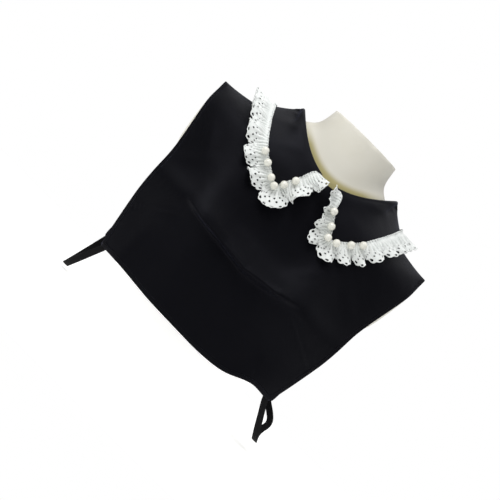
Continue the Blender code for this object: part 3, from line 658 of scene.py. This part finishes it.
def lace_rows(node):
    """The middle of the lace solid's wall, as rows of places along the band."""
    bm = bmesh.new()
    bm.from_mesh(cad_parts[node].data)
    bmesh.ops.remove_doubles(bm, verts=bm.verts, dist=1e-6)
    rim = [face for face in bm.faces if min(edge.calc_length() for edge in face.edges) < LACE_RIM]
    bmesh.ops.delete(bm, geom=rim, context="FACES")
    halves = []
    start = next(iter(bm.verts))
    one = set(steps_from([start]))
    for keep_one in (True, False):
        wall = bm.copy()
        wall.verts.ensure_lookup_table()
        chosen = {vertex.index for vertex in one}
        extra = [v for v in wall.verts if (v.index in chosen) is not keep_one]
        bmesh.ops.delete(wall, geom=extra, context="VERTS")
        halves.append(wall_rows(wall))
        wall.free()
    bm.free()
    return [[(a + b) / 2 for a, b in zip(*pair)] for pair in zip(*halves)]


def smooth_at(places, at):
    """A place on the smooth curve through the places, at a number of steps along it."""
    last = len(places) - 1
    i = max(0, min(last - 1, int(at)))
    t = at - i
    a, b, c, d = (places[max(0, min(last, i + k))] for k in (-1, 0, 1, 2))
    return 0.5 * (
        2 * b + (c - a) * t + (2 * a - 5 * b + 4 * c - d) * t**2 + (3 * b - a - 3 * c + d) * t**3
    )


def gathered_at(side, fan):
    """How far along the gathering a number of fans reaches."""
    valleys = VALLEYS[side]
    last = len(valleys) - 1
    if fan > last:
        return valleys[-1] + (fan - last) * FAN_PITCH[side]
    i = min(int(fan), last - 1)
    return valleys[i] + (valleys[i + 1] - valleys[i]) * (fan - i)


def lace_point(rows, station, across):
    """The gathered lace's surface at a station along it and a distance across it."""
    row = 0
    while row < LACE_ROWS - 2 and across > LACE_ACROSS[row + 1]:
        row += 1
    at = row + (across - LACE_ACROSS[row]) / (LACE_ACROSS[row + 1] - LACE_ACROSS[row])
    return smooth_at([smooth_at(places, station) for places in rows], at)


# White cotton lawn: bleached, crisp and matt, with satin stitch round each hole. Threads are 0.25 mm
# apart and drawn at 0.6 mm so that they show.
lawn, tree = material("bleached cotton lawn")
place = add(tree, "ShaderNodeTexCoord").outputs["Object"]
dull = add(tree, "ShaderNodeTexNoise", {"Scale": 90.0, "Detail": 3.0}, {"Vector": place})
white = add(
    tree,
    "ShaderNodeMix",
    {"data_type": "RGBA", "A": linear("#EEF0EE"), "B": linear("#E0E4E2")},
    {"Factor": dull.outputs[0]},
)
lawn_weave = add(tree, "ShaderNodeBump", {"Strength": 0.5, "Distance": 0.00015}, {"Height": woven(tree, 0.0006)})
lawn_cloth = add(
    tree,
    "ShaderNodeBsdfPrincipled",
    {"Roughness": 0.85, "Specular IOR Level": 0.3, "Sheen Weight": 0.2},
    {"Base Color": white.outputs["Result"], "Normal": lawn_weave.outputs[0]},
)
show(tree, lawn_cloth)

# The band's rows across it, in metres from the gathering. Each eyelet takes some rows and columns of
# a petal: first row, rows, first column, columns. They are rings, dots, dots between, slits, heading.
ROWS = [-0.0052, -0.0037, -0.0018, 0.0, 0.0024, 0.0048, 0.0072, 0.0090, 0.0104]
ROWS += [0.0116, 0.0128, 0.0144, 0.0157, 0.0170, 0.0184, 0.0197, 0.0213, 0.0229, 0.0245]
EYELETS = ((15, 2, 1, 3), (11, 2, 4, 2), (8, 2, 1, 2), (5, 2, 2, 1), (1, 1, 1, 2))


def lace_band(side, name, node):
    """A flat band of fans, gathered along the collar's edge."""
    rows = lace_rows(node)
    gathered = rows[1]
    length = sum((b - a).length for a, b in zip(gathered, gathered[1:]))
    last_valley = len(VALLEYS[side]) - 1
    fans = last_valley + (length - VALLEYS[side][-1]) / FAN_PITCH[side]
    unused = -VALLEYS[side][0] / (VALLEYS[side][1] - VALLEYS[side][0])
    skipped = int(unused * PETALS[side] * CELLS)
    columns = int(fans * PETALS[side]) * CELLS - skipped
    last = len(ROWS) - 1
    bm = bmesh.new()
    bmesh.ops.create_grid(bm, x_segments=columns, y_segments=last, size=1)
    column_of = bm.verts.layers.int.new("column")
    row_of = bm.verts.layers.int.new("row")
    for vertex in bm.verts:
        vertex[column_of] = round((vertex.co.x + 1) / 2 * columns) + skipped
        vertex[row_of] = round((vertex.co.y + 1) / 2 * last)
    holes = {}
    for face in bm.faces:
        column = min(vertex[column_of] for vertex in face.verts)
        row = min(vertex[row_of] for vertex in face.verts)
        for first_row, high, first_column, wide in EYELETS:
            petal, cell = divmod(column - first_column, CELLS)
            if first_row <= row < first_row + high and cell < wide:
                holes.setdefault((first_row, petal), []).append(face)

    for vertex in bm.verts:
        fan = vertex[column_of] / (PETALS[side] * CELLS)
        row = vertex[row_of]
        along = max(0.0, min(length, gathered_at(side, fan)))
        out = max(0.0, ROWS[row]) / LACE_OUT
        beyond = max(0.0, -ROWS[row]) / HEADING
        within = 0.0 if fan < 0.5 else abs(2 * (fan % 1) - 1)
        dip = FAN_DEPTH[side] * within ** FAN_POINT[side] - FAN_REACH[side]
        follows = max(0.0, min(1.0, (ROWS[row] - 0.004) / 0.015))
        petal = sin(pi * (vertex[column_of] % CELLS) / CELLS)
        picot = (petal - 0.7) * {last: PETAL_DEPTH, last - 1: PETAL_DEPTH / 2, 0: -PICOT_DEPTH}.get(row, 0.0)
        crimped = 0.0006 * sin(2 * pi * fan * 4.6) if row < 3 else 0.0
        dip += END_CUT[side] * max(0.0, 1 - along / 0.009) ** 2
        crimped += 0.0032 * beyond * max(0.0, 1 - along / 0.006) ** 2
        across = ROWS[row] - dip * follows + picot + crimped
        station = along / length * (len(gathered) - 1)
        place = lace_point(rows, station, across)
        ahead = lace_point(rows, min(len(gathered) - 1, station + 0.3), across)
        behind = lace_point(rows, max(0, station - 0.3), across)
        tangent = (ahead - behind).normalized()
        outwards = lace_point(rows, station, across + 0.001) - lace_point(rows, station, across - 0.001)
        normal = side * tangent.cross(outwards).normalized()
        turn = 2 * pi * fan
        swing = 0.5 - 0.5 * cos(turn)
        lean = LEAN_OVER[side] * (1 + 0.5 * sin(2.4 * int(fan)))
        near = max(0.0, ROWS[row]) / 0.0045
        up = 0.0014 * near * exp(1 - near) * sin(turn * PETALS[side] - pi / 2)
        up += 0.0004 * exp(-abs(ROWS[row]) / 0.003) * sin(turn * 7)
        up += 0.0009 * out**2 * sin(turn * 2.37 + 1)
        vertex.co = place + normal * up + tangent * out * (lean * swing - BELLY[side] * sin(turn))
        vertex.co.x -= side * END_REACH[side] * out * max(0.0, 1 - along / 0.018)

    for faces in holes.values():
        rim = {vertex for face in faces for vertex in face.verts}
        middle = sum((vertex.co for vertex in rim), Vector()) / len(rim)
        radius = sum((vertex.co - middle).length for vertex in rim) / len(rim)
        for vertex in rim:
            spoke = vertex.co - middle
            if spoke.length > radius:
                vertex.co = middle + spoke * (radius / spoke.length)
    gone = [face for faces in holes.values() for face in faces]
    bmesh.ops.inset_region(bm, faces=gone, thickness=0.0002, use_even_offset=False)
    bmesh.ops.delete(bm, geom=gone, context="FACES")
    rims = [i for i, vertex in enumerate(bm.verts) if vertex.is_boundary]
    made = piece(name, bm, lawn, [node], levels=1)
    stitching = made.vertex_groups.new(name="stitching")
    stitching.add(rims, 1.0, "REPLACE")
    thickness = made.modifiers.new("thickness", "SOLIDIFY")
    thickness.thickness = LACE_CLOTH
    thickness.offset = 0
    thickness.vertex_group = stitching.name
    thickness.thickness_vertex_group = 0.4
    return made


lace_band(-1, "lace_edging_left", "lace_left")
lace_band(1, "lace_edging_right", "lace_right")


# Pearls: six ivory glass pearls, 10 mm across, on each half. Each is drilled through and sewn down
# over the gathers with two stitches of ivory thread.
nacre, tree = material("ivory nacre on glass")
place = add(tree, "ShaderNodeTexCoord").outputs["Object"]
cloud = add(tree, "ShaderNodeTexNoise", {"Scale": 160.0, "Detail": 3.0}, {"Vector": place})
ivory = add(
    tree,
    "ShaderNodeMix",
    {"data_type": "RGBA", "A": linear("#EFEEE6"), "B": linear("#DDDCCF")},
    {"Factor": cloud.outputs[0]},
)
orient = add(tree, "ShaderNodeBump", {"Strength": 0.05, "Distance": 0.0002}, {"Height": cloud.outputs[0]})
pearl_shader = add(
    tree,
    "ShaderNodeBsdfPrincipled",
    {"Roughness": 0.28, "Specular IOR Level": 0.6, "Coat Weight": 0.6, "Coat Roughness": 0.1, "Coat IOR": 1.5},
    {"Base Color": ivory.outputs["Result"], "Normal": orient.outputs[0]},
)
show(tree, pearl_shader)

# Ivory cotton thread, waxed, through every pearl and down into the gathers at both ends.
thread_ivory, tree = material("waxed ivory cotton thread")
twist = add(tree, "ShaderNodeBump", {"Strength": 0.5, "Distance": 0.0001}, {"Height": woven(tree, 0.0004)})
thread_shader = add(
    tree,
    "ShaderNodeBsdfPrincipled",
    {"Base Color": linear("#DAD8CC"), "Roughness": 0.6, "Specular IOR Level": 0.3},
    {"Normal": twist.outputs[0]},
)
show(tree, thread_shader)
PEARL_RADIUS = 0.0049
PEARL_THREAD = 0.0003
for side in ("left", "right"):
    nodes = [f"pearl_{side}_{number}" for number in range(1, 7)]
    middles = [sum(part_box(node), Vector()) / 2 for node in nodes]
    sewn = bmesh.new()
    for i, (node, middle) in enumerate(zip(nodes, middles)):
        along = (middles[min(5, i + 1)] - middles[max(0, i - 1)]).normalized()
        near = form.closest_point_on_mesh(middle)[1]
        down = (near - middle).normalized()
        place = Matrix.Translation(middle) @ along.to_track_quat("Z", "Y").to_matrix().to_4x4()
        bm = bmesh.new()
        bmesh.ops.create_uvsphere(bm, u_segments=32, v_segments=26, radius=PEARL_RADIUS, matrix=place)
        poles = [vertex for vertex in bm.verts if len(vertex.link_edges) > 8]
        bmesh.ops.delete(bm, geom=poles, context="VERTS")
        mouths = [edge for edge in bm.edges if edge.is_boundary]
        bmesh.ops.bridge_loops(bm, edges=mouths)
        piece(node + "_bead", bm, nacre, [node])
        ends = [middle - along * PEARL_RADIUS, middle + along * PEARL_RADIUS]
        runs = [(ends[0], ends[1])] + [(end, end + down * 0.0044) for end in ends]
        for start, stop in runs:
            run = stop - start
            lying = Matrix.Translation((start + stop) / 2) @ run.to_track_quat("Z", "Y").to_matrix().to_4x4()
            bmesh.ops.create_cone(
                sewn,
                cap_ends=True,
                segments=8,
                radius1=PEARL_THREAD,
                radius2=PEARL_THREAD,
                depth=run.length + PEARL_THREAD,
                matrix=lying,
            )
    piece(f"pearl_thread_{side}", sewn, thread_ivory)


# Straps: 9 mm woven black elastic, one at each side. Each is tacked inside the front's hem corner and
# the back's, and its slack hangs in a loop beside the form.
elastic, tree = material("woven black elastic")
rib = woven(tree, 0.0011)
ribs = add(tree, "ShaderNodeBump", {"Strength": 0.6, "Distance": 0.0003}, {"Height": rib})
elastic_shader = add(
    tree,
    "ShaderNodeBsdfPrincipled",
    {"Base Color": linear("#08080A"), "Roughness": 0.7, "Specular IOR Level": 0.1},
    {"Normal": ribs.outputs[0]},
)
show(tree, elastic_shader)
for side, node in ((-1, "strap_left"), (1, "strap_right")):
    made = piece(node + "_elastic", merged(node), elastic, [node], levels=2)


# Buttons: three 11 mm four-hole buttons of black polyester resin, turned and polished, sewn down the
# middle of the back with crossed thread.
resin, tree = material("polished black polyester resin")
place = add(tree, "ShaderNodeTexCoord").outputs["Object"]
turning = add(tree, "ShaderNodeTexNoise", {"Scale": 300.0, "Detail": 2.0}, {"Vector": place})
lathe = add(tree, "ShaderNodeBump", {"Strength": 0.1, "Distance": 0.0001}, {"Height": turning.outputs[0]})
resin_shader = add(
    tree,
    "ShaderNodeBsdfPrincipled",
    {"Base Color": linear("#121214"), "Roughness": 0.3, "Coat Weight": 0.3},
    {"Normal": lathe.outputs[0]},
)
show(tree, resin_shader)
BUTTON_RADIUS = 0.0055
HOLE_TURNS = (45, 135, 225, 315)
for number in (1, 2, 3):
    node = f"button_{number}"
    seat = merged(node)
    outer = [face for face in seat.faces if face.normal.y > 0.6]
    way = sum((face.normal * face.calc_area() for face in outer), Vector()).normalized()
    middle = sum((vertex.co for vertex in seat.verts), Vector()) / len(seat.verts)
    wall = 2 * max((vertex.co - middle).dot(way) for vertex in seat.verts)
    seat.free()
    facing = Matrix.Translation(middle + way * wall / 2) @ way.to_track_quat("Z", "Y").to_matrix().to_4x4()

    bm = bmesh.new()
    bmesh.ops.create_circle(bm, cap_ends=True, segments=24, radius=BUTTON_RADIUS)
    cap = list(bm.faces)
    for inset, sunk in ((0.0003, 0.0), (0.0008, 0.0), (0.0005, -0.0005), (0.0015, 0.0), (0.0011, 0.0)):
        bmesh.ops.inset_region(
            bm, faces=cap, thickness=inset, depth=sunk, use_boundary=True, use_even_offset=True
        )
    holes = []
    for face in bm.faces:
        centre = face.calc_center_median()
        turn = (degrees(atan2(centre.y, centre.x)) + 360) % 360
        if 0.0014 < centre.xy.length < 0.0024 and any(abs(turn - at) < 10 for at in HOLE_TURNS):
            holes.append(face)
    bmesh.ops.delete(bm, geom=holes, context="FACES")
    bmesh.ops.transform(bm, matrix=facing, verts=bm.verts)
    disc = piece(node + "_resin", bm, resin, [node], levels=1)
    thickness = disc.modifiers.new("thickness", "SOLIDIFY")
    thickness.thickness = wall - 0.0006
    thickness.offset = -1

    bm = bmesh.new()
    for turn in (45, -45):
        for beside in (-0.0002, 0.0002):
            lying = Matrix.Rotation(radians(turn), 4, "Z") @ Matrix.Translation((0, beside, -0.0003))
            lying = lying @ Matrix.Rotation(pi / 2, 4, "Y")
            bmesh.ops.create_cone(
                bm, cap_ends=True, segments=8, radius1=0.0002, radius2=0.0002, depth=0.0038, matrix=facing @ lying
            )
    piece(node + "_thread", bm, thread_black)
